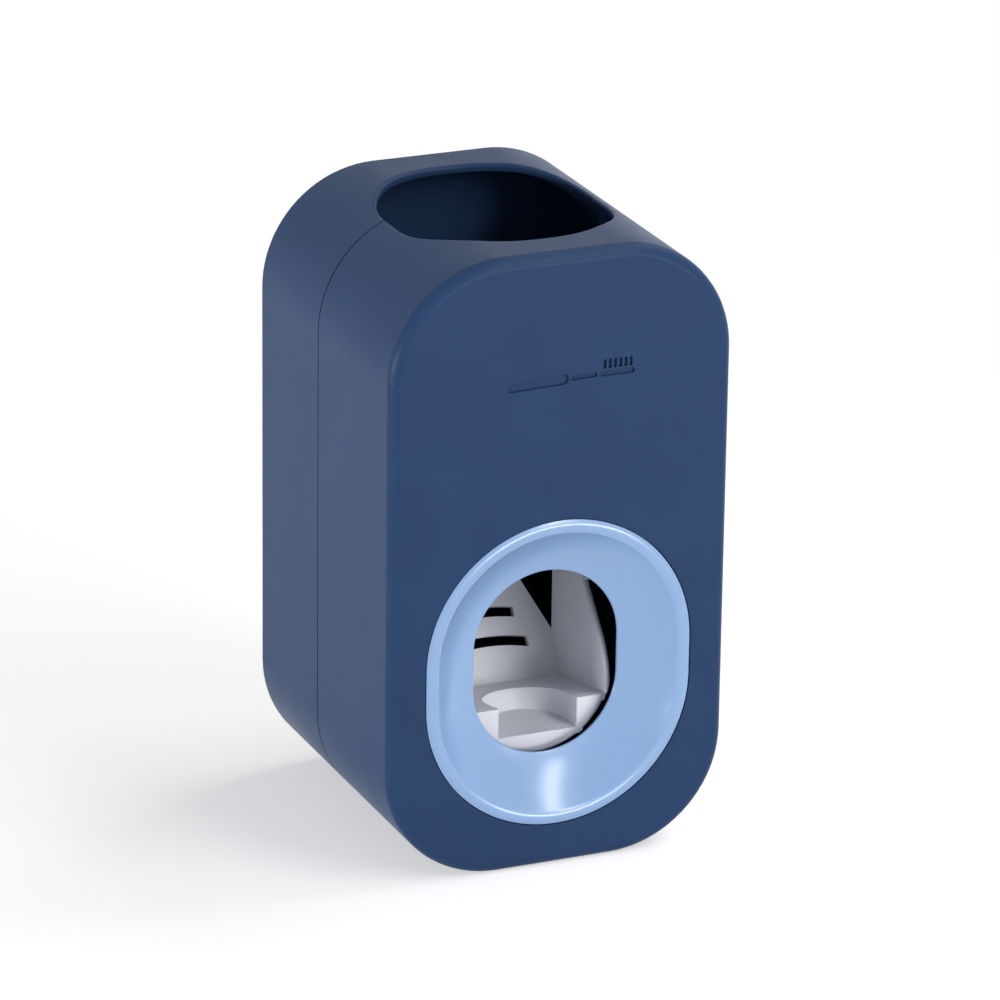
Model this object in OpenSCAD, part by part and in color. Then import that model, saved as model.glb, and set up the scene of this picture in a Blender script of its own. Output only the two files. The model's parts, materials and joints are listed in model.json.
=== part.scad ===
// Wall mounted toothpaste squeezer: a two part housing with a push lever that squeezes a
// soft pump tube under an upside down toothpaste tube.
// Millimetres, Z up. The front faces -Y. The origin is the centre of the underside.

/* [Housing] */
// Width of the housing
body_w = 62; // [58:0.5:72]
// Height of the housing
body_h = 110; // [106:0.5:130]
// Depth of the housing from its front face to its back face
body_d = 59; // [58:0.5:70]
// Radius of the four long corners
corner_r = 20.5; // [16:0.5:22]
// Wall thickness of both shells
wall = 2.2; // [1.6:0.1:2.6]
// Rounding round the front face
front_round = 2; // [1:0.1:3]
// Rounding round the back face
back_round = 0.4; // [0.4:0.1:1.5]
// Depth from the front face to the joint between the shells
seam_d = 32.5; // [31.5:0.5:34]
// Width of the groove that shows at the joint
seam_gap = 0.3; // [0.2:0.05:0.5]
// Length of the collar that the front shell slides over
spigot_len = 3; // [2:0.5:5]
// Thickness of that collar
spigot_t = 1.2; // [0.8:0.1:1.8]

/* [Tube slot] */
// Width of the slot in the top
slot_w = 37.6; // [34:0.2:38]
// Length of the slot from front to back
slot_l = 41.8; // [38:0.2:44]
// Corner radius of the slot
slot_r = 17.5; // [12:0.5:18]
// Distance of the slot's middle behind the middle of the housing
slot_shift = 0.4; // [0:0.1:0.6]
// Rounding of the slot's edge
lip_r = 0.7; // [0.5:0.1:1]
// Thickness of the shells round the slot
lip_t = 1.3; // [1.2:0.1:1.6]

/* [Brush opening] */
// Height of the middle of the brush opening
bezel_z = 35.25; // [34:0.25:38]
// Half the straight length of the opening's sides
bezel_s = 3.3; // [2:0.1:5]
// Radius of the outside of the bezel
bezel_r = 24.25; // [23:0.25:25]
// Width of the raised rim
rim_w = 2.3; // [1.5:0.1:3]
// Height of the rim above the front face
rim_proud = 0.3; // [0.1:0.05:0.6]
// Radius of the rim's rounded top
rim_round = 2; // [1.6:0.1:4]
// Radius of the inner brush opening
mouth_r = 13.25; // [12.5:0.05:14]
// Depth of the inner opening behind the front face
mouth_d = 5.7; // [5:0.1:6]
// Radius of the dished face between rim and opening
dish_r = 22; // [16:1:60]
// Wall of the dish
dish_t = 1.5; // [1.2:0.1:2]
// Rounding of the inner opening's edge
mouth_round = 0.3; // [0.3:0.1:0.6]
// Gap round the bezel
bezel_gap = 0.2; // [0.1:0.05:0.3]
// Thickness of the bezel's hidden flange
flange_t = 1.2; // [0.8:0.1:1.6]
// Reach of the flange past the rim
flange_reach = 1.2; // [0.8:0.1:1.6]

/* [Lever] */
// Depth of the lever's pivot behind the front face
pivot_d = 25; // [24.5:0.1:25.5]
// Height of the lever's pivot
pivot_z = 74; // [73.5:0.1:74.2]
// Radius of the pivot pins
pin_r = 1.5; // [1.2:0.1:1.8]
// Free swing of the lever in degrees
swing = 15; // [10:1:16]
// Half the width between the lever's side arms
arm_in = 12.5; // [12.3:0.1:12.8]
// Thickness of the arms and of the cradle's walls
arm_t = 1.2; // [1:0.1:1.6]
// Radius of the pivot bosses
boss_r = 4.2; // [3.6:0.1:4.4]
// Reach of the pivot bosses inside the arms
boss_in = 1.4; // [1:0.1:1.6]
// Depth of the cradle's front face
cradle_d = 8.6; // [8.3:0.1:9]
// Height of the cradle's lower edge
cradle_z = 17.4; // [16.5:0.1:18]
// Height of the floor at the cradle's front
floor_z = 26.4; // [26:0.1:27]
// Half the width of the handle's notch in the cradle's front
notch_w = 7.3; // [6:0.1:8]
// Depth of the middle of the notch's round end
notch_mid = 10.8; // [10:0.1:12]
// Height of the notch floor
notch_z = 21; // [20.5:0.1:22]
// Lean of the notch's round end in degrees
notch_lean = 35; // [25:1:38]
// Depth of the fold between floor and back plate
fold_d = 27.5; // [26.5:0.1:28.5]
// Height of the fold
fold_z = 23; // [22.5:0.1:23.5]
// Height of the knee in the arms' front edge
knee_z = 32.5; // [32:0.1:33]
// Radius of that knee
knee_r = 14; // [12:0.5:14]
// Height where the sloping front edge of the arms ends
arm_high = 43.7; // [43:0.1:45]
// Lean of the back plate in degrees
lean = 30.5; // [27:0.5:33]
// Length of the back plate up its slope
plate_len = 22.4; // [20:0.2:22.8]
// Half the width of the back plate's narrow upper end
plate_top_w = 7; // [5.5:0.1:8.5]
// Height of the two arched slots in the back plate
grip_h = 1.8; // [1.2:0.1:2.4]
// Distance of the lower slot from the fold
grip_low = 7.35; // [7:0.05:7.6]
// Distance of the upper slot from the fold
grip_high = 12.5; // [12:0.1:13]
// Half the width of the lower slot
grip_low_w = 7.75; // [7:0.05:8.5]
// Half the width of the upper slot
grip_high_w = 6.15; // [5.5:0.05:7]
// Radius of the arch of both slots
grip_arch = 32; // [28:1:40]
// Radius of the bar that presses on the pump tube
bar_r = 3; // [2.6:0.1:3.2]
// Height of that bar at rest
bar_z = 58.5; // [58:0.1:59.5]
// Wire radius of the return springs
wire_r = 0.4; // [0.3:0.05:0.45]
// Winding radius of the return springs
coil_r = 2.6; // [2.4:0.1:3]
// Step from one turn of the return springs to the next
coil_step = 1.25; // [1.25:0.01:1.27]

/* [Pump] */
// Distance of the pump's axis behind the middle of the housing
pump_shift = 0.2; // [0:0.1:0.4]
// Outside radius of the pump tube
pump_r = 7; // [6.6:0.1:7.2]
// Wall of the pump tube
pump_t = 1.6; // [1.2:0.1:1.8]
// Radius of the neck adapter's bore for the toothpaste tube
neck_r = 6.5; // [5.5:0.1:6.8]
// Length of that bore
neck_len = 8; // [6:0.5:9]
// Wall of the neck adapter
adapter_t = 1.6; // [1.2:0.1:2]
// Wall of the inlet cup
cup_t = 1.9; // [1.4:0.1:2.2]
// Thickness of the inlet cup's flange and floor
cup_flange_t = 2; // [1.5:0.1:2.5]
// Radius of the passages through the pump
throat_r = 3.6; // [3:0.1:4]
// Length of the nozzle below its bracket
nozzle_len = 5; // [4:0.1:5.5]

/* [Inner frame] */
// Height of the underside of the frame's platform
deck_z = 80; // [79.8:0.1:81]
// Thickness of the platform
deck_t = 2.2; // [1.8:0.1:2.6]
// Half the width of the platform
deck_w = 25; // [24:0.2:26]
// Thickness of the frame's other walls
frame_t = 1.8; // [1.4:0.1:2]
// Gap between the inlet collar and the frame's back plate
spine_gap = 0.2; // [0.2:0.05:0.4]
// Height of the lower edge of the frame's back plate
spine_low = 54; // [52:0.5:56]
// Height of the upper edge of the frame's back plate
spine_top = 91; // [90:0.5:92]
// Height of the underside of the nozzle bracket
bracket_z = 50.5; // [50:0.1:51]
// Thickness of the nozzle bracket
bracket_t = 2.5; // [2:0.1:2.8]
// Distance of the frame's screws from the middle
screw_x = 21; // [20.6:0.1:21.4]
// Height of the lower pair of screws
screw_low = 59.5; // [59:0.5:61]
// Height of the upper pair of screws
screw_high = 86; // [85:0.5:86.5]
// Shank radius of the frame's screws
screw_r = 1.25; // [1:0.05:1.5]
// Length of the frame's screws under the head
screw_len = 8; // [6:0.5:8.5]

/* [Wall mount] */
// Width of the wall plate
mount_w = 44; // [42:1:46]
// Height of the wall plate
mount_h = 72; // [66:1:76]
// Thickness of the wall plate
mount_t = 2; // [1.6:0.1:3]
// Thickness of the adhesive pad
pad_t = 1; // [0.6:0.1:1.6]
// Distance of the hanging studs from the middle
stud_x = 13; // [12:0.1:13.2]
// Height of the lower studs
stud_low = 36; // [34:0.5:40]
// Height of the upper studs
stud_high = 76; // [72:0.5:77]
// Radius of the studs' necks
stud_r = 2; // [1.6:0.1:2.2]
// Radius of the studs' heads
stud_head_r = 3.8; // [3.4:0.1:3.9]
// Lift that frees the studs from the housing
lift = 8; // [7:0.5:9]

/* [Hidden] */
$fn = 64;
eps = 0.01;

// Clearances between pieces
fit = 0.15;
seat = 0.3;
pin_run = 0.06;
pin_fit = 0.03;

navy = [0.17, 0.25, 0.39];
sky = [0.56, 0.71, 0.9];
white = [0.88, 0.88, 0.9];
silicone = [0.78, 0.8, 0.82];
steel = [0.7, 0.7, 0.72];

// Depths are measured back from the front face
mount_gap = 0.2;
front_y = rim_proud - (rim_proud + body_d + mount_gap + mount_t + pad_t) / 2;
slot_y = front_y + body_d / 2 + slot_shift;
pump_d = body_d / 2 + pump_shift;
pump_y = front_y + pump_d;
front_end = seam_d - seam_gap / 2;
rear_start = seam_d + seam_gap / 2;
half_w = body_w / 2;
back_inner = body_d - wall;

// The pump's cup and its collar, which set the place of the frame's back plate
cup_out = neck_r + adapter_t + cup_t + fit / 2;
cup_flange_r = cup_out + 2.6;
collar_screw_r = 1;
collar_ear_r = collar_screw_r + 2;
collar_screw_d = cup_flange_r + collar_screw_r + 1.4;
spine_d = pump_d + collar_screw_d + collar_ear_r + spine_gap;
spine_end = spine_d + frame_t;

// Places the children, drawn in plan, upright with their base at depth d, growing forwards
module upright(d) {
    translate([0, front_y + d, 0])
        rotate([90, 0, 0])
            children();
}

// Extrudes an outline drawn in X and Z from depth d0 back to depth d1
module slab(d0, d1) {
    upright(d1)
        linear_extrude(d1 - d0)
            children();
}

// Extrudes an outline drawn in depth and Z from x0 to x1
module side_slab(x0, x1) {
    translate([x0, front_y, 0])
        rotate([90, 0, 90])
            linear_extrude(x1 - x0)
                children();
}

// A block between two depths
module block(x0, x1, d0, d1, z0, z1) {
    translate([x0, front_y + d0, z0])
        cube([x1 - x0, d1 - d0, z1 - z0]);
}

// A cylinder along X
module rod(x0, x1, d, z, r) {
    translate([x0, front_y + d, z])
        rotate([0, 90, 0])
            cylinder(h = x1 - x0, r = r);
}

// A cylinder along Y
module stud(x, z, d0, d1, r) {
    translate([x, front_y + d0, z])
        rotate([-90, 0, 0])
            cylinder(h = d1 - d0, r = r);
}

module both_sides() {
    children();
    mirror([1, 0, 0])
        children();
}

module rounded_rect(w, h, r) {
    square([w - 2 * r, h], center = true);
    square([w, h - 2 * r], center = true);
    for (x = [-1, 1], y = [-1, 1])
        translate([x * (w / 2 - r), y * (h / 2 - r)])
            circle(r);
}

module stadium(r, s) {
    translate([-r, -s])
        square([2 * r, 2 * s]);
    for (y = [-s, s])
        translate([0, y])
            circle(r);
}

// The housing's outline, drawn in by inset
module profile(inset = 0) {
    translate([0, body_h / 2])
        rounded_rect(body_w - 2 * inset, body_h - 2 * inset, corner_r - inset);
}

// A rounded edge in section, with a root that reaches into the body beside it
module quarter_round(r) {
    intersection() {
        circle(r);
        square(r);
    }
    translate([-1, 0])
        square([1, r]);
}

// A layer as thick as the rounding f, rounded over its whole upper edge
module rounded_layer(f) {
    w = body_w - 2 * corner_r;
    h = body_h - 2 * corner_r;
    translate([0, body_h / 2]) {
        linear_extrude(f)
            rounded_rect(body_w - 2 * f, body_h - 2 * f, corner_r - f);
        for (x = [-1, 1], y = [-1, 1])
            translate([x * w / 2, y * h / 2])
                rotate([0, 0, x > 0 ? (y > 0 ? 0 : 270) : (y > 0 ? 90 : 180)])
                    rotate_extrude(angle = 90)
                        translate([corner_r - f, 0])
                            quarter_round(f);
        for (side = [0, 1])
            mirror([side, 0, 0])
                translate([half_w - f, h / 2, 0])
                    rotate([90, 0, 0])
                        linear_extrude(h)
                            quarter_round(f);
        for (side = [0, 1])
            mirror([0, side, 0])
                translate([-w / 2, body_h / 2 - f, 0])
                    rotate([90, 0, 90])
                        linear_extrude(w)
                            quarter_round(f);
    }
}

// Tube slot

slot_a = slot_w / 2;
slot_b = slot_l / 2;

module slot_cut(grow, z0) {
    translate([0, slot_y, z0])
        linear_extrude(body_h)
            rounded_rect(slot_w + 2 * grow, slot_l + 2 * grow, slot_r + grow);
}

// Height of the housing's top at a distance x from its middle
function top_z(x) =
    let (over = max(0, abs(x) - (half_w - corner_r)))
    body_h - corner_r + sqrt(corner_r * corner_r - over * over);

// One corner of the slot's edge: each entry is x, y and the outward direction
function slot_corner(sx, sy, a0) = [
    for (i = [0:16])
        let (a = a0 + i * 90 / 16)
        [
            sx * (slot_a - slot_r) + slot_r * cos(a),
            slot_y + sy * (slot_b - slot_r) + slot_r * sin(a),
            cos(a), sin(a)
        ]
];
front_edge = concat(
    [[-slot_a, front_y + front_end, -1, 0]],
    slot_corner(-1, -1, 180),
    slot_corner(1, -1, 270),
    [[slot_a, front_y + front_end, 1, 0]]
);
rear_edge = concat(
    [[slot_a, front_y + rear_start, 1, 0]],
    slot_corner(1, 1, 0),
    slot_corner(-1, 1, 90),
    [[-slot_a, front_y + rear_start, -1, 0]]
);

// Where the shells are thinned under the slot's edge
thin_reach = lip_r + 2.6;
module slot_thinning() {
    intersection() {
        slab(wall, back_inner)
            profile(lip_t);
        slot_cut(thin_reach, deck_z);
    }
}

// Section of the lip at one point of the slot's edge, rolling from the top down into the slot
lip_steps = 6;
lip_root = 0.5;
lip_sink = 0.03;
lip_reach = lip_r + 0.05;
function lip_section(p) =
    let (
        crown = top_z(p[0]),
        outer = top_z(p[0] + p[2] * lip_reach) - lip_sink,
        root = top_z(p[0] + p[2] * (lip_r + lip_root)) - lip_sink,
        at = function (u, z) [p[0] + p[2] * u, p[1] + p[3] * u, z]
    )
    concat(
        [at(0, crown - lip_t + lip_sink)],
        [
            for (i = [0:lip_steps])
                let (a = 90 * i / lip_steps)
                at(lip_reach * (1 - cos(a)), crown - lip_r * (1 - sin(a)) + (outer - crown) * (1 - cos(a)))
        ],
        [at(lip_r + lip_root, root - 0.3), at(lip_r + lip_root, crown - lip_t + lip_sink)]
    );

module swept(sections) {
    n = len(sections[0]);
    m = len(sections);
    polyhedron(
        points = [for (s = sections) each s],
        faces = concat(
            [[for (i = [0:n - 1]) i]],
            [[for (i = [n - 1:-1:0]) (m - 1) * n + i]],
            [
                for (k = [0:m - 2], i = [0:n - 1])
                    let (a = k * n + i, b = k * n + (i + 1) % n)
                    each [[a, a + n, b], [b, a + n, b + n]]
            ]
        )
    );
}

module slot_lip(edge) {
    swept([for (p = edge) lip_section(p)]);
}

// Front cover

clip_r = bezel_r + flange_reach + fit;
clip_t = 1.5;
clip_w = 4;
clip_hook = 1;
flange_d0 = wall + fit;
flange_d1 = flange_d0 + flange_t;
clip_end = flange_d1 + fit + clip_t;

// Four hooks behind the front wall that hold the bezel's flange
module bezel_clips() {
    for (side = [0:3])
        translate([0, 0, bezel_z])
            rotate([0, side * 90, 0])
                translate([0, 0, side % 2 == 0 ? bezel_s : 0]) {
                    block(-clip_w, clip_w, wall - 0.5, clip_end, clip_r, clip_r + clip_t);
                    block(-clip_w, clip_w, flange_d1 + fit, clip_end, clip_r - clip_hook, clip_r + clip_t);
                }
}

module front_shell() {
    color(navy)
    union() {
        difference() {
            union() {
                upright(front_round)
                    rounded_layer(front_round);
                slab(front_round, front_end)
                    profile();
            }
            slab(wall, seam_d)
                profile(wall);
            slot_thinning();
            slot_cut(lip_r, deck_z);
            slab(-1, seam_d)
                translate([0, bezel_z])
                    stadium(bezel_r + bezel_gap, bezel_s);
        }
        slot_lip(front_edge);
        bezel_clips();
    }
}

// Section of the bezel: distance from the opening's middle line, and height over the front face
rim_in = bezel_r - rim_w;
rim_foot = rim_proud - rim_round + sqrt(rim_round * rim_round - rim_w * rim_w / 4);
chord = [rim_in - mouth_r, rim_foot + mouth_d];
chord_len = norm(chord);
dish_mid = [(rim_in + mouth_r) / 2, (rim_foot - mouth_d) / 2];
dish_centre = dish_mid
    + [-chord[1], chord[0]] / chord_len * sqrt(dish_r * dish_r - chord_len * chord_len / 4);
edge_x = mouth_r + mouth_round;
edge_reach = dish_r + mouth_round;
edge_mid = [edge_x, dish_centre[1] - sqrt(pow(edge_reach, 2) - pow(edge_x - dish_centre[0], 2))];
edge_touch = dish_centre + (edge_mid - dish_centre) * dish_r / edge_reach;

module bezel_section() {
    difference() {
        union() {
            polygon([
                edge_mid - [0, mouth_round],
                edge_mid,
                edge_touch,
                [rim_in, rim_foot],
                [bezel_r, rim_foot],
                [bezel_r, -flange_d0],
                [bezel_r + flange_reach, -flange_d0],
                [bezel_r + flange_reach, -flange_d1],
                [rim_in - dish_t / 2, -flange_d1],
                [mouth_r + dish_t, -mouth_d - 0.8 * dish_t]
            ]);
            translate(edge_mid)
                circle(mouth_round);
            intersection() {
                translate([bezel_r - rim_w / 2, rim_proud - rim_round])
                    circle(rim_round);
                translate([rim_in, rim_foot - 1])
                    square([rim_w, rim_proud - rim_foot + 1]);
            }
        }
        translate(dish_centre)
            circle(dish_r, $fn = 360);
    }
}

module bezel_funnel() {
    color(sky)
    upright(0)
        translate([0, bezel_z]) {
            for (side = [0, 1])
                mirror([0, side, 0])
                    translate([0, bezel_s])
                        rotate_extrude(angle = 180)
                            bezel_section();
            for (side = [0, 1])
                mirror([side, 0, 0])
                    translate([0, bezel_s])
                        rotate([90, 0, 0])
                            linear_extrude(2 * bezel_s)
                                bezel_section();
        }
}

// Rear housing

boss_out = 3.2;
keyhole_in = stud_r + fit;
keyhole_out = stud_head_r + 2 * fit;

module keyhole(x, z) {
    translate([x, z])
        circle(keyhole_in);
    translate([x - keyhole_in, z - lift])
        square([2 * keyhole_in, lift]);
    translate([x, z - lift])
        circle(keyhole_out);
}

module rear_shell() {
    color(navy)
    union() {
        difference() {
            union() {
                slab(rear_start, body_d - back_round)
                    profile();
                translate([0, 2 * front_y + 2 * body_d - back_round, 0])
                    mirror([0, 1, 0])
                        upright(body_d)
                            rounded_layer(back_round);
                for (x = [-screw_x, screw_x], z = [screw_low, screw_high])
                    stud(x, z, spine_end, body_d - back_round, boss_out);
            }
            difference() {
                slab(rear_start - 1, back_inner)
                    profile(wall);
                for (x = [-screw_x, screw_x], z = [screw_low, screw_high])
                    stud(x, z, spine_end, body_d, boss_out);
            }
            slot_thinning();
            slot_cut(lip_r, deck_z);
            for (x = [-screw_x, screw_x], z = [screw_low, screw_high])
                stud(x, z, spine_end - 1, spine_end + screw_len, screw_r + pin_fit);
            for (x = [-stud_x, stud_x], z = [stud_low, stud_high])
                slab(back_inner - 1, body_d + 1)
                    keyhole(x, z);
        }
        slot_lip(rear_edge);
        difference() {
            union() {
                slab(rear_start, rear_start + 3)
                    profile(wall - 0.4);
                slab(front_end - spigot_len, rear_start)
                    profile(wall + fit);
            }
            slab(front_end - spigot_len - 1, rear_start + 4)
                profile(wall + fit + spigot_t);
            slot_cut(thin_reach, deck_z);
        }
    }
}

// Inner frame

spring_room = 5.5;
cheek_in = arm_in + arm_t + spring_room;
cheek_out = cheek_in + frame_t;
anvil_d = pump_d + pump_r + seat;
bracket_top = bracket_z + bracket_t;
neck_out = pump_r - 1;
screw_head_r = 2.7;
screw_head_t = 1.9;
collar_boss_r = 2.3;
collar_boss_h = 4;
deck_top = deck_z + deck_t;
deck_hole_r = pump_r + 1;
tube_flange_t = 1.5;
tube_flange_r = pump_r + 2.5;

module pump_axis(z) {
    translate([0, pump_y, z])
        children();
}

cheek_front = pivot_d - 7;
cheek_low = pivot_z - 12;
front_stop_low = pivot_z - 9;
front_stop_end = pivot_d - boss_r - 0.7;
rear_stop_d = pivot_d + 8.8;
rear_stop_t = 1.8;
rear_stop_low = pivot_z - 11.5;
rear_stop_h = 3.5;

// One of the two walls that carry the pivot, with the stops in front of and behind the arm
module cheek() {
    difference() {
        side_slab(cheek_in, cheek_out)
            polygon([
                [cheek_front, deck_z + eps],
                [cheek_front, front_stop_low],
                [cheek_front + 3, cheek_low],
                [rear_stop_d + rear_stop_t + 0.9, cheek_low],
                [spine_d + eps, pivot_z - 4],
                [spine_d + eps, deck_z + eps]
            ]);
        rod(cheek_in - 1, cheek_out + 1, pivot_d, pivot_z, pin_r + pin_fit);
    }
    block(arm_in, cheek_out, cheek_front, front_stop_end, front_stop_low, deck_z + eps);
    block(
        arm_in, cheek_out,
        rear_stop_d, rear_stop_d + rear_stop_t,
        rear_stop_low, rear_stop_low + rear_stop_h
    );
}

deck_front = 12;
deck_corner = 6;
window = [7, 14];
window_at = [13, 70];
window_r = 2;
anvil_w = 9;
anvil_t = 2;
rib_in = 6.4;
rib_out = 8;
bracket_r = pump_r + 2;

module inner_frame() {
    color(white)
    difference() {
        union() {
            // Platform under the inlet cup
            translate([0, front_y, deck_z])
                linear_extrude(deck_t)
                    difference() {
                        translate([0, (spine_end + deck_front) / 2])
                            rounded_rect(2 * deck_w, spine_end - deck_front, deck_corner);
                        translate([-deck_w, spine_end])
                            square([2 * deck_w, 1]);
                    }
            // Back plate with two windows
            slab(spine_d, spine_end)
                difference() {
                    translate([0, (spine_low + spine_top) / 2])
                        rounded_rect(2 * deck_w, spine_top - spine_low, 4);
                    for (side = [-1, 1])
                        translate([side * window_at[0], window_at[1]])
                            rounded_rect(window[0], window[1], window_r);
                }
            // Anvil behind the pump tube and its two ribs
            block(-anvil_w, anvil_w, anvil_d, anvil_d + anvil_t, bracket_z, deck_z + eps);
            both_sides()
                block(rib_in, rib_out, anvil_d + 1, spine_d + eps, spine_low, deck_z + eps);
            // Bracket round the lower end of the pump tube
            pump_axis(bracket_z)
                cylinder(h = bracket_t, r = bracket_r);
            block(-pump_r, pump_r, pump_d, anvil_d + 1, bracket_z, bracket_top);
            both_sides()
                cheek();
            // Bosses for the collar's screws
            for (side = [-1, 1])
                translate([0, pump_y + side * collar_screw_d, deck_z - collar_boss_h])
                    cylinder(h = collar_boss_h + 1, r = collar_boss_r);
        }
        pump_axis(bracket_z - 1)
            cylinder(h = bracket_t + 2, r = neck_out + pin_fit);
        pump_axis(deck_z - 1)
            cylinder(h = deck_t + 2, r = deck_hole_r);
        pump_axis(deck_z - tube_flange_t - 1)
            cylinder(h = tube_flange_t + 1, r = tube_flange_r + fit);
        for (side = [-1, 1])
            translate([0, pump_y + side * collar_screw_d, deck_z - collar_boss_h - 1])
                cylinder(h = collar_boss_h + deck_t + 2, r = collar_screw_r + pin_fit);
        for (x = [-screw_x, screw_x], z = [screw_low, screw_high])
            stud(x, z, spine_d - 1, spine_end + 1, screw_r + fit);
    }
}

// A cross recess in the head of a screw
module cross_recess(r) {
    for (a = [0, 90])
        rotate([0, 0, a])
            cube([r * 1.2, r * 0.26, 1.8], center = true);
}

module frame_screws() {
    color(steel)
    for (x = [-screw_x, screw_x], z = [screw_low, screw_high])
        translate([x, front_y + spine_d, z])
            rotate([90, 0, 0])
                difference() {
                    union() {
                        translate([0, 0, -screw_len])
                            cylinder(h = screw_len, r = screw_r);
                        cylinder(h = screw_head_t, r = screw_head_r);
                    }
                    translate([0, 0, screw_head_t])
                        cross_recess(screw_head_r);
                }
}

// Lever

arm_out = arm_in + arm_t;
arm_round = arm_t / 2;
arm_front = [pivot_d - 6.5, arm_high];
arm_rear = fold_d + 4;
catch_w = 1.6;
catch_t = 1.4;
catch_end = pivot_d - coil_r - wire_r - fit;
spring_leg = 12.6;
rest_front = pivot_d - boss_r;
bar_d = pump_d - pump_r - seat - bar_r;

// The knee: its turn, the height where it starts and the point where it ends
knee_turn = atan((arm_front[0] - cradle_d) / (arm_front[1] - knee_z));
knee_low = knee_z - knee_r * tan(knee_turn / 2);
function knee_point(inset, turn) =
    [cradle_d + knee_r - (knee_r - inset) * cos(turn), knee_low + (knee_r - inset) * sin(turn)];
slope_len = norm(arm_front - knee_point(0, knee_turn));

// Outline of one side of the lever in depth and height, without its rounded front edge
module arm_outline() {
    polygon(concat(
        [[cradle_d + arm_round, floor_z - 2 * arm_t]],
        [for (i = [0:6]) knee_point(arm_round, knee_turn * i / 6)],
        [
            arm_front + arm_round * [cos(knee_turn), -sin(knee_turn)],
            arm_front,
            [bar_d - 2, bar_z - bar_r - 3],
            [bar_d - bar_r - 1, bar_z - bar_r],
            [bar_d - bar_r - 1, bar_z + bar_r - 0.5],
            [bar_d, bar_z + bar_r + 2],
            [rest_front, pivot_z - 9.5],
            [rest_front, pivot_z],
            [pivot_d + boss_r, pivot_z],
            [arm_rear - 1.2, pivot_z - 16],
            [arm_rear, pivot_z - 28],
            [arm_rear, fold_z + (arm_rear - fold_d) / tan(lean)],
            [fold_d, fold_z - 1],
            [fold_d - 1.5, fold_z - 3],
            [fold_d - 4, fold_z - 4]
        ]
    ));
    translate([pivot_d, pivot_z])
        circle(boss_r);
}

// Section of the arms' front edge, round on its right side
module edge_section(r) {
    intersection() {
        circle(r);
        translate([0, -r])
            square([r, 2 * r]);
    }
    translate([-1, -r])
        square([1, 2 * r]);
}

// Rounded front edge of one arm: upright, round the knee and up the slope
module arm_edge() {
    foot = floor_z - 2 * arm_t;
    translate([arm_in + arm_round, front_y, 0]) {
        translate([0, cradle_d + arm_round, foot])
            linear_extrude(knee_low - foot)
                rotate(-90)
                    edge_section(arm_round);
        translate([0, cradle_d + knee_r, knee_low])
            rotate([90, 0, 90])
                rotate([0, 0, 180 - knee_turn])
                    rotate_extrude(angle = knee_turn)
                        translate([knee_r - arm_round, 0])
                            edge_section(arm_round);
        translate([0, knee_point(arm_round, knee_turn)[0], knee_point(arm_round, knee_turn)[1]])
            rotate([-knee_turn, 0, 0])
                linear_extrude(slope_len)
                    rotate(-90)
                        edge_section(arm_round - eps);
    }
}

// One arched slot in the back plate
module grip_slot(height, half) {
    translate([0, height - grip_arch])
        intersection() {
            difference() {
                circle(grip_arch + grip_h / 2, $fn = 180);
                circle(grip_arch - grip_h / 2, $fn = 180);
            }
            translate([-half, 0])
                square([2 * half, 2 * grip_arch]);
        }
}

// Back plate of the cradle, leaning back from the fold
module grip_plate() {
    shoulder = (arm_rear - fold_d) / sin(lean);
    translate([0, front_y + fold_d, fold_z])
        rotate([90 - lean, 0, 0])
            translate([0, 0, -arm_t])
                linear_extrude(arm_t)
                    difference() {
                        union() {
                            polygon([
                                [-arm_in - 0.1, -0.5],
                                [arm_in + 0.1, -0.5],
                                [arm_in + 0.1, shoulder],
                                [arm_in - 4, shoulder + 9.5],
                                [plate_top_w, plate_len - 3],
                                [plate_top_w - 3, plate_len],
                                [3 - plate_top_w, plate_len],
                                [-plate_top_w, plate_len - 3],
                                [4 - arm_in, shoulder + 9.5],
                                [-arm_in - 0.1, shoulder]
                            ]);
                            for (x = [-1, 1])
                                translate([x * (plate_top_w - 3), plate_len - 3])
                                    circle(3);
                        }
                        grip_slot(grip_low, grip_low_w);
                        grip_slot(grip_high, grip_high_w);
                    }
}

// The cradle's front edge is a half round as wide as the arms
scoop_z = cradle_z + arm_out;
scoop_len = 5;
scoop_gap = 0.03;

module front_wall() {
    intersection() {
        union() {
            slab(cradle_d, cradle_d + arm_t)
                translate([0, scoop_z])
                    circle(arm_out - arm_round);
            slab(cradle_d + arm_round, cradle_d + arm_t)
                translate([0, scoop_z])
                    circle(arm_out);
            upright(cradle_d + arm_round)
                translate([0, scoop_z, 0])
                    rotate([0, 0, 180])
                        rotate_extrude(angle = 180)
                            translate([arm_out - arm_round, 0])
                                quarter_round(arm_round);
        }
        block(-arm_out, arm_out, cradle_d - 1, cradle_d + 2, cradle_z - 1, floor_z);
    }
}

// The space round the cradle's half round front edge
module scoop_clearance() {
    slab(cradle_d - 1, cradle_d + scoop_len)
        difference() {
            translate([-arm_out - 1, 0])
                square([2 * arm_out + 2, scoop_z - 1.5]);
            translate([0, scoop_z])
                circle(arm_out + scoop_gap);
        }
}

// Prism with a round end that leans back, for the handle's notch and the wall round it
module notch_prism(grow) {
    w = notch_w + grow;
    translate([0, front_y + notch_mid, notch_z])
        rotate([-notch_lean, 0, 0])
            translate([0, 0, -12])
                linear_extrude(24) {
                    circle(w);
                    translate([-w, -20])
                        square([2 * w, 20]);
                }
}

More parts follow.
